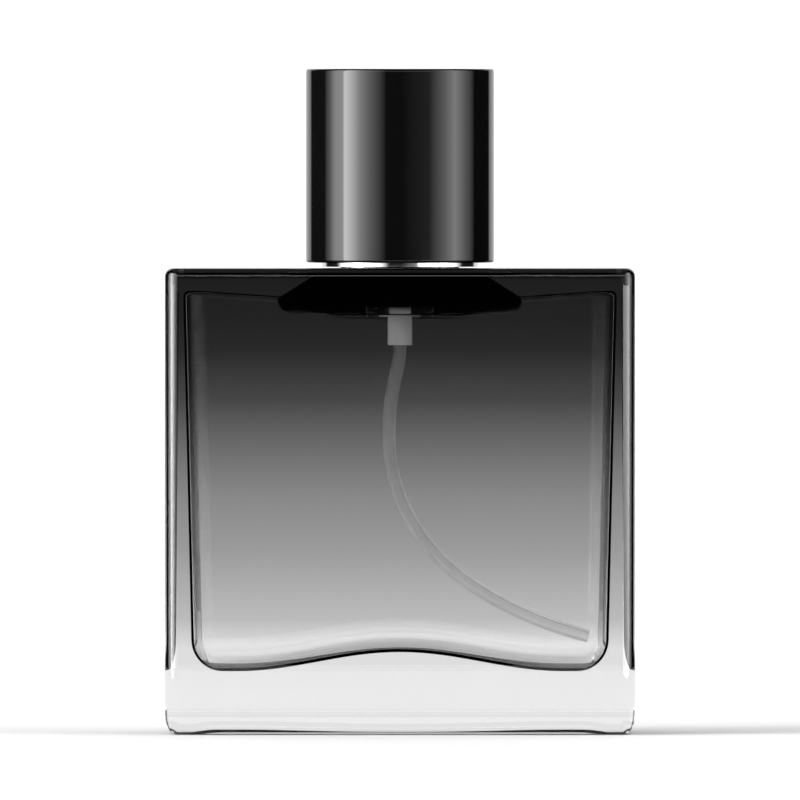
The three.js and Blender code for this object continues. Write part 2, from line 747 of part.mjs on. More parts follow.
// A small cup over the swirl post, with the spray orifice in its dished face.
function nozzleInsert() {
  const face = buttonRadius - PART_GAP;
  const faceInside = face - NOZZLE_FACE;
  const rim = face - NOZZLE_LENGTH;
  return facingFront(
    turned(
      [
        [nozzleBore, rim],
        [NOZZLE_RADIUS, rim],
        [NOZZLE_RADIUS, face],
        [NOZZLE_ORIFICE + NOZZLE_DISH_WIDTH, face],
        [NOZZLE_ORIFICE, face - NOZZLE_DISH_DEPTH],
        [NOZZLE_ORIFICE, faceInside],
        [nozzleBore, faceInside],
      ],
      SMALL,
    ),
  );
}

// The plastic carrier of the collar. Its ribs grip the crimp ferrule.
function collarInsert() {
  const top = collarTop - COLLAR_SHELL_WALL - RUNNING_GAP;
  const bottom = collarBottom + PART_GAP;
  const hole = collarHoleRadius - PART_GAP;
  const carrier = turned(
    [
      [collarInsertBore, bottom],
      [collarInsertRadius, bottom],
      [collarInsertRadius, top],
      [hole, top],
      [hole, top - COLLAR_INSERT_WALL],
      [collarInsertBore, top - COLLAR_INSERT_WALL],
    ],
    LARGE,
  );
  const ribs = innerRibs(
    COLLAR_RIB_COUNT,
    COLLAR_RIB_WIDTH,
    ferruleSkirtRadius + RUNNING_GAP,
    collarInsertRadius - COLLAR_INSERT_WALL / 2,
    beadBottom,
    top - COLLAR_INSERT_WALL / 2,
  );
  return toGeometry(ribs.reduce((solid, rib) => solid.add(rib), toSolid(carrier)));
}

function collarShell() {
  const edge = COLLAR_SHELL_WALL / 2;
  return turned(
    [
      [collarShellBore, collarBottom],
      ...arc(collarRadius - edge, collarBottom + edge, edge, -90, 0),
      ...arc(collarRadius - COLLAR_SHELL_WALL, collarTop - COLLAR_SHELL_WALL, COLLAR_SHELL_WALL, 0, 90),
      [collarHoleRadius, collarTop],
      [collarHoleRadius, collarTop - COLLAR_SHELL_WALL],
      [collarShellBore, collarTop - COLLAR_SHELL_WALL],
    ],
    LARGE,
  );
}

// The cap's inner sleeve: ribs grip the collar, and a step rests on the collar's top.
function capLiner() {
  const bottom = capBottom + PART_GAP;
  const sleeve = turned(
    [
      [linerSkirtBore, bottom],
      [linerRadius, bottom],
      [linerRadius, linerTop],
      [0, linerTop],
      [0, linerCeiling],
      [linerBore, linerCeiling],
      [linerBore, linerStep],
      [linerSkirtBore, linerStep],
    ],
    LARGE,
  );
  const ribs = innerRibs(
    CAP_RIB_COUNT,
    CAP_RIB_WIDTH,
    collarRadius + CAP_RIB_GAP,
    (linerSkirtBore + linerRadius) / 2,
    bottom + BURIED,
    linerStep + BURIED,
  );
  return toGeometry(ribs.reduce((solid, rib) => solid.add(rib), toSolid(sleeve)));
}

function capShell() {
  const corner = capRadius - CAP_EDGE_RADIUS;
  return turned(
    [
      [capShellBore, capBottom],
      ...arc(corner, capBottom + CAP_EDGE_RADIUS, CAP_EDGE_RADIUS, -90, 0),
      ...arc(corner, capTop - CAP_EDGE_RADIUS, CAP_EDGE_RADIUS, 0, 90),
      [0, capTop],
      [0, capCeiling],
      [capShellBore, capCeiling],
    ],
    LARGE,
  );
}

// Each group moves as one body; each entry is a part's name, its geometry and its material.
function assembly(parts) {
  const group = new THREE.Group();
  for (const [name, geometry, finish] of parts) {
    const mesh = new THREE.Mesh(geometry, finish);
    mesh.name = name;
    group.add(mesh);
  }
  return group;
}

const fixedParts = assembly([
  ["glass_bottle", glassBottle(), shadedGlass],
  ["neck_gasket", neckGasket(), sealRubber],
  ["crimp_ferrule", crimpFerrule(), satinAluminium],
  ["pump_housing", pumpHousing(), clearPlastic],
  ["dip_tube", dipTube(), clearPlastic],
  ["pump_turret", pumpTurret(), whitePlastic],
  ["stem_seal", stemSeal(), sealRubber],
  ["pump_spring", pumpSpring(), springSteel],
  ["collar_insert", collarInsert(), blackLiner],
  ["collar_shell", collarShell(), polishedMetal],
]);
const ball = assembly([["inlet_ball", inletBall(), springSteel]]);
const valve = assembly([["valve_rod", valveRod(), whitePlastic]]);
const actuator = assembly([
  ["actuator_button", actuatorButton(), blackLiner],
  ["actuator_shell", actuatorShell(), polishedMetal],
  ["nozzle_insert", nozzleInsert(), glossBlack],
]);
const stem = assembly([
  ["pump_stem", pumpStem(), whitePlastic],
  ["pump_piston", pumpPiston(), whitePlastic],
]);
stem.add(valve, actuator);
const cap = assembly([
  ["cap_shell", capShell(), glossBlack],
  ["cap_liner", capLiner(), blackLiner],
]);

const group = new THREE.Group();
group.add(fixedParts, ball, stem, cap);

export default group;
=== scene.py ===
"""Looks of the aftershave bottle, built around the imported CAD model. Metres; -Y is the front, Z is up."""
import json
import math

import bmesh
import bpy
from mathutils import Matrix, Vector


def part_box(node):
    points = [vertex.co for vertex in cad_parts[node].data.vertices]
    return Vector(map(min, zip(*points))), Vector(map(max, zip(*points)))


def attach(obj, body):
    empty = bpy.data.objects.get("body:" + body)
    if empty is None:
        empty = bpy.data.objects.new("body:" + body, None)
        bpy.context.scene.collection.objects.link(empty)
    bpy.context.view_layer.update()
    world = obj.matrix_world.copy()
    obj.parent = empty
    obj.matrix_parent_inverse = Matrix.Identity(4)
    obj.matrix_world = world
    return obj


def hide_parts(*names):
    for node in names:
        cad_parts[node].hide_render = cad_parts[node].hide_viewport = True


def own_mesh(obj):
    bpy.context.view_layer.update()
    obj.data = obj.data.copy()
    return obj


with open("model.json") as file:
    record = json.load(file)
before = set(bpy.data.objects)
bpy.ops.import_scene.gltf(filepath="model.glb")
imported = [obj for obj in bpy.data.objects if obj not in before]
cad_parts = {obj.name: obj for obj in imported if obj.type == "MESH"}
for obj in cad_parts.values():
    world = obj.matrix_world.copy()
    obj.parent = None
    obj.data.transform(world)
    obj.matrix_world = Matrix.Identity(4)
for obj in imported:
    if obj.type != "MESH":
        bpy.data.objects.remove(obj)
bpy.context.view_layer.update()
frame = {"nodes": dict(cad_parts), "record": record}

MM = 0.001

# Camera: a long lens, level with the middle of the bottle and tipped down very slightly.
VIEW_WIDTH = 126.2 * MM
VIEW_HEIGHT = 52.5 * MM
CAMERA_RAISE = math.radians(0.6)
LENS_MM = 1600
SENSOR_MM = 36
GLASS_BOUNCES = 24

# Shape of the glass between the frame's own corners.
EDGE_RADIUS = 2.4 * MM
SHOULDER_RADIUS = 1.3 * MM
HEEL_RADIUS_SIDE = 1.7 * MM
HEEL_RADIUS_FACE = 3.5 * MM
BASE_RIM = 5 * MM
BASE_SLOPE = 1.2 * MM
BASE_RECESS = 0.8 * MM
FACE_WALL = 3.5 * MM
SIDE_WALL_TOP = 2.9 * MM
SIDE_WALL_BOTTOM = 4.15 * MM
CAVITY_EDGE_RADIUS = 4 * MM
FLOOR_GLASS = 9.94 * MM
FLOOR_SWELL = 3 * MM
FLOOR_VALLEY_INSET = 7.1 * MM
FLOOR_FILLET = 5 * MM
SHOULDER_GLASS = 3.7 * MM
CEILING_FILLET = 0.8 * MM
BOSS_GLASS = 7.3 * MM
BOSS_RADIUS = 19.3 * MM
BOSS_ROUNDING = 2.4 * MM
NECK_HEIGHT = 9.2 * MM
NECK_RADIUS = 8.75 * MM
NECK_FILLET = 0.8 * MM
BEAD_RADIUS = 9.95 * MM
BEAD_HEIGHT = 3.4 * MM
BEAD_CHAMFER = 0.5 * MM
THROAT_RADIUS = 6 * MM
THROAT_FILLET = 0.4 * MM

# The dip tube's run from the pump's tail to the right-hand wall.
TUBE_RADIUS = 1.025 * MM
TUBE_BORE = 0.65 * MM
TUBE_LEAN = math.radians(14)
TUBE_LEAN_START = 2 * MM
TUBE_DROP = 31 * MM
TUBE_END_SLOPE = math.radians(16)
TUBE_END_RUN = 11 * MM
TUBE_END_TO_FLOOR = 5.26 * MM

# The round window for the nozzle in the button's metal shell.
WINDOW_RADIUS = 2 * MM

# The collar's outside runs straight down over this height.
COLLAR_FOOT = 0.3 * MM

# Fineness of the rebuilt surfaces.
WELD = 1e-7
CORNER_STEPS = 12
LONG_SIDE_STEPS = 48
SHORT_SIDE_STEPS = 14
ROUND_STEPS = 10
NECK_FILLET_STEPS = 6
BOSS_FLAT_STEPS = 8
CEILING_STEPS = 12
FLOOR_STEPS = 10
BASE_SHARES = (0.1, 0.5, 1)
TURNED_STEPS = 160
OUTLINE_ROUNDING = 0.1 * MM
OUTLINE_ROUNDING_STEPS = 3
OUTLINE_REACH = 0.3
WALL_TOLERANCE = 0.1 * MM
LEVEL_TOLERANCE = 0.5 * MM
THROAT_TOLERANCE = 0.05 * MM
LEAST_OUTER_CORNER = 0.3 * MM
LEAST_INNER_CORNER = 0.5 * MM
TUBE_SIDES = 24
TUBE_STEPS = 90
SHARP_ANGLE = math.radians(35)

# How strongly each clear material bends light.
GLASS_IOR = 1.5
LIQUID_IOR = 1.36
TUBE_IOR = 1.5
PLASTIC_IOR = 1.5


# ---------------------------------------------------------------- meshes

def fractions(steps):
    """Even steps from 0 to 1, both ends kept."""
    return [step / steps for step in range(steps + 1)]


def make_object(name, vertices, faces):
    """A smooth mesh object whose corner normals follow the larger faces beside each vertex."""
    mesh = bpy.data.meshes.new(name)
    mesh.from_pydata([tuple(v) for v in vertices], [], faces)
    return finish_object(name, mesh)


def finish_object(name, mesh):
    """Welds and smooths a mesh, sets its corner normals and links it as an object."""
    bm = bmesh.new()
    bm.from_mesh(mesh)
    bmesh.ops.remove_doubles(bm, verts=bm.verts, dist=WELD)
    bm.to_mesh(mesh)
    bm.free()
    mesh.polygons.foreach_set("use_smooth", [True] * len(mesh.polygons))
    normals = [Vector() for _ in mesh.vertices]
    for face in mesh.polygons:
        for index in face.vertices:
            normals[index] += face.normal * face.area
    mesh.normals_split_custom_set_from_vertices([n.normalized() for n in normals])
    mesh.update()
    piece = bpy.data.objects.new(name, mesh)
    bpy.context.scene.collection.objects.link(piece)
    return piece


def loft_faces(ring_count, count):
    """Quads between rings of the same number of points, each ring closed on itself."""
    faces = []
    for k in range(0, (ring_count - 1) * count, count):
        for i in range(count):
            j = (i + 1) % count
            faces.append((k + i, k + j, k + count + j, k + count + i))
    return faces


def cad_outline(node, azimuth=0.0):
    """Outline of a turned CAD node in the half-plane at an azimuth, as (radius, height) points."""
    out = Vector((math.cos(azimuth), math.sin(azimuth), 0))
    side = Vector((-out.y, out.x, 0))
    bm = bmesh.new()
    bm.from_mesh(frame["nodes"][node].data)
    bmesh.ops.remove_doubles(bm, verts=bm.verts, dist=WELD)
    geometry = bm.verts[:] + bm.edges[:] + bm.faces[:]
    cut = bmesh.ops.bisect_plane(bm, geom=geometry, dist=2 * WELD, plane_co=(0, 0, 0), plane_no=side)
    links = {}
    for edge in cut["geom_cut"]:
        if not isinstance(edge, bmesh.types.BMEdge):
            continue
        ends = [(round(v.co.dot(out), 7), round(v.co.z, 7)) for v in edge.verts]
        if min(end[0] for end in ends) < -10 * WELD or ends[0] == ends[1]:
            continue
        for a, b in (ends, ends[::-1]):
            links.setdefault(a, set()).add(b)
    bm.free()
    loose = [point for point in links if len(links[point]) == 1]
    chain = [min(loose or links, key=lambda point: (point[1], point[0]))]
    before = None
    while True:
        onward = sorted(point for point in links[chain[-1]] if point != before)
        if not onward or onward[0] == chain[0]:
            break
        before = chain[-1]
        chain.append(onward[0])
    return chain, bool(loose)


def rounded_outline(chain, is_open):
    """The outline with a small rounding at every corner that isn't on the axis."""
    points = [Vector(point) for point in chain]
    rounded = []
    for index, corner in enumerate(points):
        if is_open and index in (0, len(points) - 1):
            rounded.append(corner)
            continue
        before = points[index - 1] - corner
        after = points[(index + 1) % len(points)] - corner
        reach = min(OUTLINE_ROUNDING, before.length * OUTLINE_REACH, after.length * OUTLINE_REACH)
        start = corner + before.normalized() * reach
        end = corner + after.normalized() * reach
        for t in fractions(OUTLINE_ROUNDING_STEPS):
            rounded.append(start * (1 - t) ** 2 + corner * 2 * t * (1 - t) + end * t ** 2)
    return rounded


def turned(name, outline, is_open):
    """Turns an outline round Z. An open one starts and ends on the axis."""
    profile = outline[1:-1] if is_open else outline
    vertices = []
    for step in range(TURNED_STEPS):
        angle = 2 * math.pi * step / TURNED_STEPS
        for radius, height in profile:
            vertices.append((radius * math.cos(angle), radius * math.sin(angle), height))
    count = len(profile)
    faces = []
    last = count - 1 if is_open else count
    for step in range(TURNED_STEPS):
        here, there = step * count, (step + 1) % TURNED_STEPS * count
        for i in range(last):
            j = (i + 1) % count
            faces.append((here + i, there + i, there + j, here + j))
    if is_open:
        low = len(vertices)
        vertices += [(0, 0, outline[0][1]), (0, 0, outline[-1][1])]
        for step in range(TURNED_STEPS):
            here, there = step * count, (step + 1) % TURNED_STEPS * count
            faces.append((low, there, here))
            faces.append((low + 1, here + count - 1, there + count - 1))
    return make_object(name, vertices, faces)


def bezier(points, share):
    """The point at a share of the way along the curve that the control points draw."""
    while len(points) > 1:
        points = [a.lerp(b, share) for a, b in zip(points, points[1:])]
    return points[0]


def swept_tube(name, route, radius, bore):
    """A tube with open ends along a route that stays in the plane of X and Z."""
    rings = []
    for size, stations in ((radius, range(len(route))), (bore, range(len(route) - 1, -1, -1))):
        for k in stations:
            along = (route[min(k + 1, len(route) - 1)] - route[max(k - 1, 0)]).normalized()
            side = Vector((0, 1, 0))
            up = along.cross(side)
            ring = []
            for step in range(TUBE_SIDES):
                angle = 2 * math.pi * step / TUBE_SIDES
                ring.append(route[k] + size * (math.cos(angle) * side + math.sin(angle) * up))
            rings.append(ring)
    rings.append(rings[0])
    return make_object(name, [p for ring in rings for p in ring], loft_faces(len(rings), TUBE_SIDES))


def cut_window(piece, radius, height, depth):
    """Cuts a round hole through the front of a piece, and keeps its edges crisp."""
    outline = [Vector(point) for point in ((0, 0), (radius, 0), (radius, depth), (0, depth))]
    cutter = turned("window", outline, True)
    cutter.rotation_euler = (math.pi / 2, 0, 0)
    cutter.location = (0, 0, height)
    cut = piece.modifiers.new("window", "BOOLEAN")
    cut.operation = "DIFFERENCE"
    cut.object = cutter
    bpy.context.view_layer.update()
    whole = piece.evaluated_get(bpy.context.evaluated_depsgraph_get())
    mesh = bpy.data.meshes.new_from_object(whole)
    piece.modifiers.clear()
    piece.data = mesh
    mesh.polygons.foreach_set("use_smooth", [True] * len(mesh.polygons))
    mesh.set_sharp_from_angle(angle=SHARP_ANGLE)
    bpy.data.objects.remove(cutter)
    return piece


# ---------------------------------------------------------------- glass

glass_low, glass_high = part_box("glass_bottle")
half_width = (glass_high.x - glass_low.x) / 2
half_depth = (glass_high.y - glass_low.y) / 2
neck_top = glass_high.z
body_top = neck_top - NECK_HEIGHT
cavity_half_depth = half_depth - FACE_WALL
cavity_half_top = half_width - SIDE_WALL_TOP
cavity_half_bottom = half_width - SIDE_WALL_BOTTOM
valley_x = cavity_half_bottom - FLOOR_VALLEY_INSET


def rounded_rectangle(half_x, half_y, radius):
    """Points round a rounded rectangle, anticlockwise from the middle of the right-hand corner."""
    points = []
    for corner, (sx, sy) in enumerate(((1, 1), (-1, 1), (-1, -1), (1, -1))):
        cx, cy = sx * (half_x - radius), sy * (half_y - radius)
        for step in range(CORNER_STEPS + 1):
            angle = (corner + step / CORNER_STEPS) * math.pi / 2
            points.append(Vector((cx + radius * math.cos(angle), cy + radius * math.sin(angle))))
        steps = LONG_SIDE_STEPS if corner % 2 == 0 else SHORT_SIDE_STEPS
        for step in range(1, steps):
            share = 1 - 2 * step / steps
            if corner % 2 == 0:
                points.append(Vector((cx * share, sy * half_y)))
            else:
                points.append(Vector((sx * half_x, cy * share)))
    return points


def at_height(points, height_at):
    return [Vector((p.x, p.y, height_at(p))) for p in points]


def body_ring(inset_x, inset_y, height):
    """A level ring round the outside of the body, drawn in from its sides."""
    radius = max(EDGE_RADIUS - min(inset_x, inset_y), LEAST_OUTER_CORNER)
    outline = rounded_rectangle(half_width - inset_x, half_depth - inset_y, radius)
    return at_height(outline, lambda p: height)


def circle_ring(outline, radius, height):
    """A level circle with one point for each point of an outline."""
    return [Vector((p.x, p.y, 0)).normalized() * radius + Vector((0, 0, height)) for p in outline]


def quarter(steps=ROUND_STEPS):
    """Angles from 0 to a right angle, both ends kept."""
    return [math.pi / 2 * share for share in fractions(steps)]


def floor_height(p):
    """Height of the liquid space's floor, which swells in the middle and has a valley on each side."""
    phase = math.pi * min(abs(p.x) / valley_x, 1)
    return FLOOR_GLASS + FLOOR_SWELL * 0.5 * (1 + math.cos(phase))


def ceiling_height(radius):
    """Height of the liquid space's roof, from which a round boss hangs under the neck."""
    flat = body_top - BOSS_GLASS
    start = BOSS_RADIUS - BOSS_ROUNDING
    if radius <= start:
        return flat
    if radius <= BOSS_RADIUS:
        across = (radius - start) / BOSS_ROUNDING
        return flat + BOSS_ROUNDING * (1 - math.sqrt(1 - across ** 2))
    low = flat + BOSS_ROUNDING
    top = body_top - SHOULDER_GLASS
    share = (radius - BOSS_RADIUS) / (cavity_half_top - BOSS_RADIUS)
    return low + (top - low) * min(share, 1)


def outer_rings():
    """From the recessed base round the heel, up the sides and over the shoulder to the neck and its bead."""
    rings = []
    rim = BASE_RIM + BASE_SLOPE
    for share in BASE_SHARES:
        ring = body_ring(HEEL_RADIUS_SIDE + rim, HEEL_RADIUS_FACE + rim, BASE_RECESS)
        rings.append([Vector((p.x * share, p.y * share, p.z)) for p in ring])
    for step in range(1, ROUND_STEPS):
        share = step / ROUND_STEPS
        inset = BASE_RIM + BASE_SLOPE * (1 - share)
        rise = BASE_RECESS * 0.5 * (1 + math.cos(math.pi * share))
        rings.append(body_ring(HEEL_RADIUS_SIDE + inset, HEEL_RADIUS_FACE + inset, rise))
    rings.append(body_ring(HEEL_RADIUS_SIDE + BASE_RIM, HEEL_RADIUS_FACE + BASE_RIM, 0))
    for angle in quarter():
        inset = 1 - math.sin(angle)
        rise = HEEL_RADIUS_FACE * (1 - math.cos(angle))
        rings.append(body_ring(HEEL_RADIUS_SIDE * inset, HEEL_RADIUS_FACE * inset, rise))
    for angle in quarter():
        inset = SHOULDER_RADIUS * (1 - math.cos(angle))
        drop = SHOULDER_RADIUS * (1 - math.sin(angle))
        rings.append(body_ring(inset, inset, body_top - drop))
    outline = rings[-1]
    root = NECK_RADIUS + NECK_FILLET
    rings.append(circle_ring(outline, root, body_top))
    for angle in quarter(NECK_FILLET_STEPS)[1:]:
        radius = root - NECK_FILLET * math.sin(angle)
        rings.append(circle_ring(outline, radius, body_top + NECK_FILLET * (1 - math.cos(angle))))
    bead_low = neck_top - BEAD_HEIGHT
    for radius, height in (
        (NECK_RADIUS, bead_low),
        (BEAD_RADIUS, bead_low + BEAD_CHAMFER),
        (BEAD_RADIUS, neck_top - BEAD_CHAMFER),
        (BEAD_RADIUS - BEAD_CHAMFER, neck_top),
        (THROAT_RADIUS + THROAT_FILLET, neck_top),
        (THROAT_RADIUS, neck_top - THROAT_FILLET),
    ):
        rings.append(circle_ring(outline, radius, height))
    return rings


def clipped(outline, radius, drop=0.0):
    """The outline drawn in to a radius wherever it reaches past it, on the roof of the liquid space."""
    ring = []
    for p in outline:
        flat = Vector((p.x, p.y))
        reach = min(flat.length, radius)
        flat = flat.normalized() * reach
        ring.append(Vector((flat.x, flat.y, ceiling_height(reach) - drop)))
    return ring


def cavity_outline(inset):
    half_x = cavity_half_top - inset
    return rounded_rectangle(half_x, cavity_half_depth - inset, CAVITY_EDGE_RADIUS - inset)


def cavity_floor_outline(inset):
    radius = max(CAVITY_EDGE_RADIUS - inset, LEAST_INNER_CORNER)
    return rounded_rectangle(cavity_half_bottom - inset, cavity_half_depth - inset, radius)


def inner_rings():
    """From the throat over the boss and down the walls to the floor."""
    rings = []
    inner = cavity_outline(CEILING_FILLET)
    flat = body_top - BOSS_GLASS
    rings.append(circle_ring(inner, THROAT_RADIUS, flat + THROAT_FILLET))
    rings.append(circle_ring(inner, THROAT_RADIUS + THROAT_FILLET, flat))
    start = BOSS_RADIUS - BOSS_ROUNDING
    for share in fractions(BOSS_FLAT_STEPS)[1:]:
        rings.append(clipped(inner, THROAT_RADIUS + (start - THROAT_RADIUS) * share))
    for angle in quarter()[1:]:
        rings.append(clipped(inner, start + BOSS_ROUNDING * math.sin(angle)))
    for share in fractions(CEILING_STEPS)[1:]:
        rings.append(clipped(inner, BOSS_RADIUS + (half_width - BOSS_RADIUS) * share))
    for angle in quarter():
        inset = CEILING_FILLET * (1 - math.sin(angle))
        drop = CEILING_FILLET * (1 - math.cos(angle))
        rings.append(clipped(cavity_outline(inset), half_width, drop))
    for angle in reversed(quarter()):
        inset = FLOOR_FILLET * (1 - math.sin(angle))
        rise = FLOOR_FILLET * (1 - math.cos(angle))
        outline = cavity_floor_outline(inset)
        rings.append(at_height(outline, lambda p: floor_height(p) + rise))
    last = cavity_floor_outline(FLOOR_FILLET)
    for share in fractions(FLOOR_STEPS)[-2:0:-1]:
        rings.append(at_height([p * share for p in last], floor_height))
    return rings


def lies_inside(centre):
    """Whether a face there gets the wet finish: the liquid space, the throat and the base right under it."""
    within_x = abs(centre.x) < cavity_half_top + WALL_TOLERANCE
    within_y = abs(centre.y) < cavity_half_depth + WALL_TOLERANCE
    in_body = FLOOR_GLASS - LEVEL_TOLERANCE < centre.z < body_top - LEVEL_TOLERANCE
    in_throat = math.hypot(centre.x, centre.y) < THROAT_RADIUS + THROAT_TOLERANCE
    return (within_x and within_y and in_body) or (in_throat and centre.z < neck_top - THROAT_FILLET)


def glass_piece():
    """The whole bottle as one closed skin, coated outside and wet inside."""
    rings = outer_rings() + inner_rings()
    count = len(rings[0])
    vertices = [p for ring in rings for p in ring]
    faces = loft_faces(len(rings), count)
    low = len(vertices)
    vertices += [Vector((0, 0, BASE_RECESS)), Vector((0, 0, floor_height(Vector((0, 0)))))]
    last = (len(rings) - 1) * count
    for i in range(count):
        j = (i + 1) % count
        faces.append((low, j, i))
        faces.append((low + 1, last + i, last + j))
    piece = make_object("fine_glass_bottle", vertices, faces)
    paint(piece, lacquered_glass(), wet_glass_with_painted_outline())
    for face in piece.data.polygons:
        face.material_index = int(lies_inside(face.center))
    return piece


# ---------------------------------------------------------------- materials

def principled(name, **sockets):
    made = bpy.data.materials.new(name)
    made.use_nodes = True
    shader = made.node_tree.nodes["Principled BSDF"]
    for socket, value in sockets.items():
        shader.inputs[socket.replace("_", " ")].default_value = value
    return made, made.node_tree, shader


def add(tree, kind, **sockets):
    node = tree.nodes.new(kind)
    for socket, value in sockets.items():
        node.inputs[socket.replace("_", " ")].default_value = value
    return node


def ramp(tree, value, low, high, stops):
    """A grey ramp over a range; its stops are (value, grey level)."""
    spread = tree.nodes.new("ShaderNodeMapRange")
    spread.inputs["From Min"].default_value = low
    spread.inputs["From Max"].default_value = high
    tree.links.new(value, spread.inputs["Value"])
    colours = tree.nodes.new("ShaderNodeValToRGB")
    elements = colours.color_ramp.elements
    while len(elements) < len(stops):
        elements.new(0.5)
    for element, (at, grey) in zip(elements, stops):
        element.position = (at - low) / (high - low)
        element.color = (grey, grey, grey, 1)
    tree.links.new(spread.outputs[0], colours.inputs[0])
    return colours.outputs["Color"]


class Graph:
    """Short calls for building a node tree of numbers."""

    def __init__(self, tree):
        self.tree = tree

    def math(self, kind, *values):
        node = self.tree.nodes.new("ShaderNodeMath")
        node.operation = kind
        for socket, value in zip(node.inputs, values):
            self.feed(socket, value)
        return node.outputs[0]

    def feed(self, socket, value):
        """Sets a socket to a number, or links it to another node's output."""
        if isinstance(value, (int, float)):
            socket.default_value = value
        else:
            self.tree.links.new(value, socket)

    def mix(self, share, low, high):
        """low where share is 0 and high where it is 1."""
        node = self.tree.nodes.new("ShaderNodeMix")
        node.data_type = "FLOAT"
        for index, value in ((0, share), (2, low), (3, high)):
            self.feed(node.inputs[index], value)
        return node.outputs[0]

    def step(self, value, start, end):
        """0 before start and 1 after end, eased between."""
        node = self.tree.nodes.new("ShaderNodeMapRange")
        node.interpolation_type = "SMOOTHSTEP"
        for name, number in (("From Min", start), ("From Max", end)):
            node.inputs[name].default_value = number
        self.feed(node.inputs["Value"], value)
        return node.outputs[0]

    def curve(self, value, low, high, top, stops):
        """Straight lines through (value, level) stops."""
        colour = ramp(self.tree, value, low, high, [(at, level / top) for at, level in stops])
        split = self.tree.nodes.new("ShaderNodeSeparateColor")
        self.tree.links.new(colour, split.inputs[0])
        return self.math("MULTIPLY", split.outputs[0], top)

    def split(self, kind):
        """X, Y and Z of a texture coordinate."""
        place = self.tree.nodes.new("ShaderNodeTexCoord")
        parts = self.tree.nodes.new("ShaderNodeSeparateXYZ")
        self.tree.links.new(place.outputs[kind], parts.inputs[0])
        return parts.outputs["X"], parts.outputs["Y"], parts.outputs["Z"]

    def seen_flat(self, start, end):
        """1 where the surface is met from inside the glass at more than a certain slant, and 0 elsewhere."""
        facing = add(self.tree, "ShaderNodeLayerWeight", Blend=0.5).outputs["Facing"]
        from_glass = self.tree.nodes.new("ShaderNodeNewGeometry").outputs["Backfacing"]
        return self.math("MULTIPLY", from_glass, self.step(facing, start, end))


SPECKLE_SCALE = 900.0
SPECKLE_DEPTH = 0.15


def speckled_roughness(tree, shader, roughness, scale=SPECKLE_SCALE):
    """Varies the roughness a little, as moulding and handling do."""
    place = tree.nodes.new("ShaderNodeTexCoord")
    noise = add(tree, "ShaderNodeTexNoise", Scale=scale, Detail=4.0)
    least = roughness * (1 - SPECKLE_DEPTH)
    spread = add(tree, "ShaderNodeMapRange", To_Min=least, To_Max=roughness * (1 + SPECKLE_DEPTH))
    tree.links.new(place.outputs["Object"], noise.inputs["Vector"])
    tree.links.new(noise.outputs["Fac"], spread.inputs["Value"])
    tree.links.new(spread.outputs[0], shader.inputs["Roughness"])


# What the front and back walls let through together, by height in mm. The front coat is the thinner one.
CLEAR_GLASS = 0.78
LACQUER = (
    (0, 1.0), (13.1, 1.0), (17.8, 0.69), (28.9, 0.45), (36.8, 0.344), (44.7, 0.208),
    (52.5, 0.084), (60.4, 0.03), (65.2, 0.022), (71.4, 0.018), (72.2, 0.001), (80, 0.0),
)
FRONT_COAT = 0.2
# Painted shade: over the boss under the neck the coat is made solid black, standing in for the dark seen
# through the thick glass there. Half its width there, by height.
PAINTED_NECK_SHADE = ((66.1, 16.9), (66.4, 18.05), (67.0, 18.8), (68.5, 19.3), (72.0, 13.8), (73.4, 13.8))
PAINTED_NECK_SHADE_WIDEST = 20 * MM
PAINTED_NECK_SHADE_EDGE = 0.15 * MM
# On the front it starts a little higher than on the back, and fades in.
PAINTED_NECK_SHADE_FRONT_FROM = 66.2 * MM
PAINTED_NECK_SHADE_FRONT_FADE = 1.2 * MM
PAINTED_NECK_SHADE_BACK_FADE = 0.05 * MM
# Painted shade: from this slant on, where light inside the glass meets the coat, the coat is painted black,
# with no reflection and no light through, which draws dark edges.
PAINTED_RIM_SHADE_FROM = 0.25
PAINTED_RIM_SHADE_FULLY = 0.27
# Painted shade: the inner face is painted black between these slants, which draws the dark outline of the
# liquid space.
PAINTED_OUTLINE_START = 0.52
PAINTED_OUTLINE_END = 0.58
SPECULAR_LEVEL = 0.5


def painted_neck_shade_mask(graph, behind, x, z):
    """1 where the coat over the boss is painted solid black as shade, and 0 elsewhere."""
    low, high = PAINTED_NECK_SHADE[0][0] * MM, PAINTED_NECK_SHADE[-1][0] * MM
    widths = [(at * MM, half * MM) for at, half in PAINTED_NECK_SHADE]
    reach = graph.curve(z, low, high, PAINTED_NECK_SHADE_WIDEST, widths)
    inside = graph.math("SUBTRACT", reach, graph.math("ABSOLUTE", x))
    start = graph.mix(behind, PAINTED_NECK_SHADE_FRONT_FROM, low)
    fade = graph.mix(behind, PAINTED_NECK_SHADE_FRONT_FADE, PAINTED_NECK_SHADE_BACK_FADE)
    above = graph.step(graph.math("DIVIDE", graph.math("SUBTRACT", z, start), fade), 0, 1)
    return graph.math("MULTIPLY", graph.step(inside, -PAINTED_NECK_SHADE_EDGE, PAINTED_NECK_SHADE_EDGE), above)


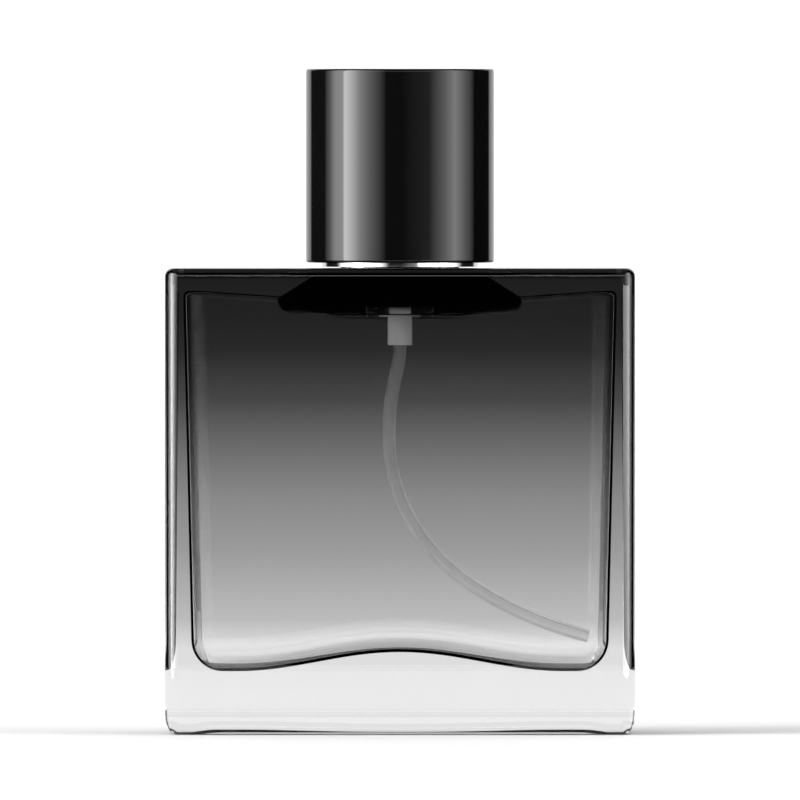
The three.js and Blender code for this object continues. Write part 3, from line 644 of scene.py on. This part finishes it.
def lacquered_glass():
    """Clear at the foot and black at the shoulder, with the coat thinner on the front than on the back. Over
    the boss, and wherever light inside the glass meets it at a steep slant, it is painted black as shade.
    """
    made, tree, shader = principled("lacquered_glass", IOR=GLASS_IOR, Roughness=0.0)
    graph = Graph(tree)
    x, y, z = graph.split("Object")
    stops = [(at * MM, grey * CLEAR_GLASS) for at, grey in LACQUER]
    through = graph.curve(z, 0, LACQUER[-1][0] * MM, 1.0, stops)
    behind = graph.step(y, -half_depth + EDGE_RADIUS, half_depth - EDGE_RADIUS)
    coat = graph.math("POWER", through, graph.mix(behind, FRONT_COAT, 2 - FRONT_COAT))
    # tint is the coat with the painted neck shade taken out of it, so it is solid black over the boss.
    tint = graph.math("MULTIPLY", coat, graph.math("SUBTRACT", 1.0, painted_neck_shade_mask(graph, behind, x, z)))
    # Painted shade: where light inside the glass meets the coat at a steep slant, the coat is painted black,
    # with no reflection and no light through.
    painted_rim_shade = graph.seen_flat(PAINTED_RIM_SHADE_FROM, PAINTED_RIM_SHADE_FULLY)
    free = graph.math("SUBTRACT", 1.0, painted_rim_shade)
    lost = graph.math("MULTIPLY", painted_rim_shade, graph.math("SUBTRACT", 1.0, tint))
    graph.feed(shader.inputs["Base Color"], graph.math("MULTIPLY", tint, free))
    graph.feed(shader.inputs["Specular IOR Level"], graph.math("MULTIPLY", SPECULAR_LEVEL, free))
    graph.feed(shader.inputs["Transmission Weight"], graph.math("SUBTRACT", 1.0, lost))
    return made


def wet_glass_with_painted_outline():
    """The inner face, where glass meets liquid. Seen nearly edge on from inside the glass it is painted
    black, a painted shade that draws the outline.
    """
    made, tree, shader = principled("wet_glass_with_painted_outline", IOR=GLASS_IOR / LIQUID_IOR, Roughness=0.0)
    graph = Graph(tree)
    clear = graph.math("SUBTRACT", 1.0, graph.seen_flat(PAINTED_OUTLINE_START, PAINTED_OUTLINE_END))
    graph.feed(shader.inputs["Base Color"], clear)
    graph.feed(shader.inputs["Transmission Weight"], clear)
    graph.feed(shader.inputs["Specular IOR Level"], graph.math("MULTIPLY", SPECULAR_LEVEL, clear))
    return made


CAP_GREY = 0.002
CAP_IOR = 1.4
CAP_ROUGHNESS = 0.03


def gloss_black():
    made, tree, shader = principled("gloss_black", Base_Color=(CAP_GREY, CAP_GREY, CAP_GREY, 1), IOR=CAP_IOR)
    speckled_roughness(tree, shader, CAP_ROUGHNESS)
    return made


def plain_metal(name, level, roughness):
    made, tree, shader = principled(name, Base_Color=(level, level, level, 1), Metallic=1.0)
    speckled_roughness(tree, shader, roughness)
    return made


def clear_plastic(name, tint, roughness, milky):
    """Plastic in liquid: its rim is faint, because the two bend light nearly alike."""
    made, tree, shader = principled(name, Transmission_Weight=1 - milky, IOR=TUBE_IOR / LIQUID_IOR)
    shader.inputs["Base Color"].default_value = (tint, tint, tint, 1)
    speckled_roughness(tree, shader, roughness)
    return made


def plain_plastic(name, colour, roughness):
    made, tree, shader = principled(name, Base_Color=(*colour, 1), IOR=PLASTIC_IOR)
    speckled_roughness(tree, shader, roughness)
    return made


def paint(piece, *materials):
    piece.data.materials.clear()
    for material in materials:
        piece.data.materials.append(material)


def paint_node(name, material):
    """Gives a CAD node, which is shown as it is, its finish."""
    for slot in frame["nodes"][name].material_slots:
        slot.material = material


# ---------------------------------------------------------------- pieces

record = frame["record"]
slot_of = {part["node"]: part["material_slot"] for part in record["subparts"]}
body_of = {node: body for body, nodes in record["behaviour"]["bodies"].items() for node in nodes}
# Names and numbers of each finish: its grey level or colour, then its roughness, then how milky it is.
finishes = {
    "cap_gloss_black": gloss_black(),
    "liner_black": plain_plastic("liner_black", (0.01, 0.01, 0.01), 0.45),
    "nozzle_black": plain_plastic("nozzle_black", (0.008, 0.008, 0.008), 0.2),
    "white_plastic": plain_plastic("white_plastic", (0.8, 0.8, 0.78), 0.4),
    "seal_rubber": plain_plastic("seal_rubber", (0.02, 0.02, 0.02), 0.8),
    "collar_metal": plain_metal("collar_metal", 0.62, 0.12),
    "button_metal": plain_metal("button_metal", 0.62, 0.12),
    "ferrule_metal": plain_metal("ferrule_metal", 0.55, 0.35),
    "spring_steel": plain_metal("spring_steel", 0.45, 0.25),
    "tube_plastic": clear_plastic("tube_plastic", 0.92, 0.02, 0.08),
    "pump_plastic": clear_plastic("pump_plastic", 0.95, 0.05, 0.8),
}


def stands_for(piece, node):
    """The piece takes the place of a CAD node: the node is hidden, the piece joins the node's body and,
    unless it has a finish, takes the finish of the node's slot.
    """
    if not piece.data.materials:
        paint(piece, finishes[slot_of[node]])
    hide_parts(node)
    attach(piece, body_of[node])


def fine_turned(node, azimuth=0.0, square_foot=0.0):
    """A turned CAD node made fine. Below the height of its square foot, its outside runs straight down."""
    chain, is_open = cad_outline(node, azimuth)
    foot = min(height for radius, height in chain) + square_foot
    widest = max(radius for radius, height in chain)
    outside = min(radius for radius, height in chain) + square_foot / 2
    chain = [
        (widest if height < foot and radius > outside else radius, height)
        for radius, height in chain
    ]
    return turned("fine_" + node, rounded_outline(chain, is_open), is_open)


def tube_route():
    """From the pump's tail down and across to the lower right corner of the liquid space."""
    tail_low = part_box("pump_housing")[0].z
    lean = Vector((-math.sin(TUBE_LEAN), 0, -math.cos(TUBE_LEAN)))
    slope = Vector((-math.cos(TUBE_END_SLOPE), 0, math.sin(TUBE_END_SLOPE)))
    mouth = Vector((0, 0, tail_low))
    corner = mouth - Vector((0, 0, TUBE_LEAN_START))
    leaning = corner + TUBE_LEAN_START * lean
    tube_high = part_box("dip_tube")[1]
    end_x = tube_high.x - TUBE_RADIUS * math.sin(TUBE_END_SLOPE)
    end = Vector((end_x, 0, FLOOR_GLASS + TUBE_END_TO_FLOOR))
    route = [Vector((0, 0, tube_high.z))]
    route += [bezier([mouth, corner, leaning], share) for share in fractions(ROUND_STEPS)]
    drop = [leaning, leaning + TUBE_DROP * lean, end + TUBE_END_RUN * slope, end]
    return route + [bezier(drop, share) for share in fractions(TUBE_STEPS)[1:]]


stands_for(glass_piece(), "glass_bottle")
stands_for(swept_tube("fine_dip_tube", tube_route(), TUBE_RADIUS, TUBE_BORE), "dip_tube")
stands_for(fine_turned("collar_shell", square_foot=COLLAR_FOOT), "collar_shell")
for node in (
    "cap_shell", "pump_housing", "crimp_ferrule", "neck_gasket", "stem_seal",
    "pump_turret", "pump_stem", "pump_piston", "valve_rod",
):
    stands_for(fine_turned(node), node)

# The spring keeps the shape of its node.
spring = finish_object("fine_pump_spring", frame["nodes"]["pump_spring"].data.copy())
spring.data.materials.clear()
stands_for(spring, "pump_spring")
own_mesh(spring)

nozzle_low, nozzle_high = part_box("nozzle_insert")
shell = fine_turned("actuator_shell", math.pi / 2)
cut_window(shell, WINDOW_RADIUS, (nozzle_low.z + nozzle_high.z) / 2, half_depth)
stands_for(shell, "actuator_shell")
for node in ("inlet_ball", "collar_insert", "actuator_button", "cap_liner", "nozzle_insert"):
    paint_node(node, finishes[slot_of[node]])


# ---------------------------------------------------------------- stage and light

FLOOR_RADIUS = 0.6
FLOOR_SIDES = 96
FLOOR_HEIGHT = -0.02 * MM
FLOOR_GREY = 0.66
FLOOR_ROUGHNESS = 0.8
FLOOR_SPECKLE_SCALE = 40.0


def floor_disc():
    vertices = []
    for side in range(FLOOR_SIDES):
        angle = 2 * math.pi * side / FLOOR_SIDES
        vertices.append((FLOOR_RADIUS * math.cos(angle), FLOOR_RADIUS * math.sin(angle), FLOOR_HEIGHT))
    piece = make_object("floor", vertices, [tuple(range(FLOOR_SIDES))])
    made, tree, shader = principled("pale_floor", Base_Color=(FLOOR_GREY, FLOOR_GREY, FLOOR_GREY, 1))
    speckled_roughness(tree, shader, FLOOR_ROUGHNESS, FLOOR_SPECKLE_SCALE)
    paint(piece, made)


# The studio, in degrees round from the front and up from the horizon, and in radiance.
# Soft boxes stand to the left and right, a bright window behind and a dim panel overhead.
LEFT_BOX = (
    (17, 0.0), (37, 3.2), (50, 6.6), (62, 13.5), (72, 17.8), (75, 7.8), (86, 6.4), (96, 2.0), (106, 0.0),
)
RIGHT_BOX = ((3, 0.0), (10, 0.1), (36, 0.4), (56, 3.2), (71, 6.2), (88, 2.3), (104, 0.0))
BOX_BRIGHTEST = 20
BOX_TOP = 40
BOX_TOP_FADE = 3
PANEL_FADE = 4
BACK_HALF_ANGLE = 38
BACK_LIGHT = 1.0
TOP_PANEL_FROM = 55
TOP_LIGHT = 0.25
DARK = 0.01
# A low band of light in front, between two heights and within a turn to either side.
BROW_BOTTOM = (4, 6)
BROW_TOP = (17, 13)
BROW_TURN = (45, 35)
BROW_LIGHT = 2.5
# What the camera itself sees behind the bottle.
BACKDROP = 1.1


def studio_light(graph):
    """The light from each direction."""
    x, y, z = graph.split("Generated")
    azimuth = graph.math("DEGREES", graph.math("ARCTAN2", x, graph.math("MULTIPLY", y, -1.0)))
    elevation = graph.math("DEGREES", graph.math("ARCSINE", z))
    leftward = graph.math("MULTIPLY", azimuth, -1.0)
    turn = graph.math("ABSOLUTE", azimuth)
    high_part = graph.step(elevation, BOX_TOP - BOX_TOP_FADE, BOX_TOP + BOX_TOP_FADE)
    low_part = graph.math("SUBTRACT", 1.0, high_part)
    left = graph.curve(leftward, 0, 180, BOX_BRIGHTEST, LEFT_BOX)
    right = graph.curve(azimuth, 0, 180, BOX_BRIGHTEST, RIGHT_BOX)
    boxes = graph.mix(graph.math("GREATER_THAN", leftward, 0.0), right, left)
    boxes = graph.math("MULTIPLY", boxes, low_part)
    brow = graph.math("MULTIPLY", graph.step(elevation, *BROW_BOTTOM), graph.step(elevation, *BROW_TOP))
    brow = graph.math("MULTIPLY", graph.math("MULTIPLY", brow, graph.step(turn, *BROW_TURN)), BROW_LIGHT)
    behind = 180 - BACK_HALF_ANGLE
    window = graph.step(turn, behind - PANEL_FADE, behind + PANEL_FADE)
    window = graph.math("MULTIPLY", graph.math("MULTIPLY", window, low_part), BACK_LIGHT)
    top = graph.step(elevation, TOP_PANEL_FROM - PANEL_FADE, TOP_PANEL_FROM + PANEL_FADE)
    top = graph.math("MULTIPLY", top, TOP_LIGHT)
    sides = graph.math("ADD", graph.math("ADD", boxes, brow), window)
    return graph.math("ADD", sides, graph.math("ADD", top, DARK))


def studio_world():
    world = bpy.data.worlds.new("studio")
    bpy.context.scene.world = world
    world.use_nodes = True
    tree = world.node_tree
    tree.nodes.clear()
    graph = Graph(tree)
    path = tree.nodes.new("ShaderNodeLightPath")
    light = graph.mix(path.outputs["Is Camera Ray"], studio_light(graph), BACKDROP)
    background = add(tree, "ShaderNodeBackground", Color=(1, 1, 1, 1))
    tree.links.new(light, background.inputs["Strength"])
    output = tree.nodes.new("ShaderNodeOutputWorld")
    tree.links.new(background.outputs[0], output.inputs["Surface"])


# Low strips beside the bottle, which end below the cap and show only in the gloss of the glass:
# degrees round from the front (left is negative), half their angle, and how bright they are.
BODY_STRIPS = ((-58, 14, 3.5), (50, 24, 5.0), (50, 13, 7.0))
STRIP_DISTANCE = 0.5
STRIP_BELOW = 0.03
STRIP_DROP = 6 * MM
# A large lamp overhead, which only lights the floor and what isn't glossy.
OVERHEAD_HEIGHT = 1.5
OVERHEAD_SIZE = 2.0
OVERHEAD_RADIANCE = 1.5


def area_light(name, width, height, radiance, place, towards, seen_in_gloss):
    data = bpy.data.lights.new(name, "AREA")
    data.shape = "RECTANGLE"
    data.size, data.size_y = width, height
    data.energy = radiance * math.pi * width * height
    lamp = bpy.data.objects.new(name, data)
    bpy.context.scene.collection.objects.link(lamp)
    lamp.location = place
    lamp.rotation_euler = (place - towards).to_track_quat("Z", "Y").to_euler()
    lamp.visible_camera = False
    lamp.visible_transmission = False
    lamp.visible_glossy = seen_in_gloss
    lamp.visible_diffuse = not seen_in_gloss


def body_strips():
    strip_top = body_top - STRIP_DROP
    middle = Vector((0, 0, (strip_top - STRIP_BELOW) / 2))
    for number, (azimuth, half_angle, radiance) in enumerate(BODY_STRIPS):
        turn = math.radians(azimuth)
        place = middle + STRIP_DISTANCE * Vector((math.sin(turn), -math.cos(turn), 0))
        width = 2 * STRIP_DISTANCE * math.tan(math.radians(half_angle))
        area_light(f"body_strip_{number}", width, strip_top + STRIP_BELOW, radiance, place, middle, True)


floor_disc()
studio_world()
body_strips()
overhead = Vector((0, 0, OVERHEAD_HEIGHT))
area_light("overhead", OVERHEAD_SIZE, OVERHEAD_SIZE, OVERHEAD_RADIANCE, overhead, Vector(), False)


# ---------------------------------------------------------------- camera

scene = bpy.context.scene
scene.view_settings.view_transform = "Standard"
scene.cycles.max_bounces = GLASS_BOUNCES
scene.cycles.transmission_bounces = GLASS_BOUNCES

camera_data = bpy.data.cameras.new("photo_camera")
camera_data.lens = LENS_MM
camera_data.sensor_width = SENSOR_MM
camera = bpy.data.objects.new("photo_camera", camera_data)
scene.collection.objects.link(camera)
distance = LENS_MM / SENSOR_MM * VIEW_WIDTH
target = Vector((0, 0, VIEW_HEIGHT))
camera.location = target + distance * Vector((0, -math.cos(CAMERA_RAISE), math.sin(CAMERA_RAISE)))
camera.rotation_euler = (target - camera.location).to_track_quat("-Z", "Y").to_euler()
scene.camera = camera
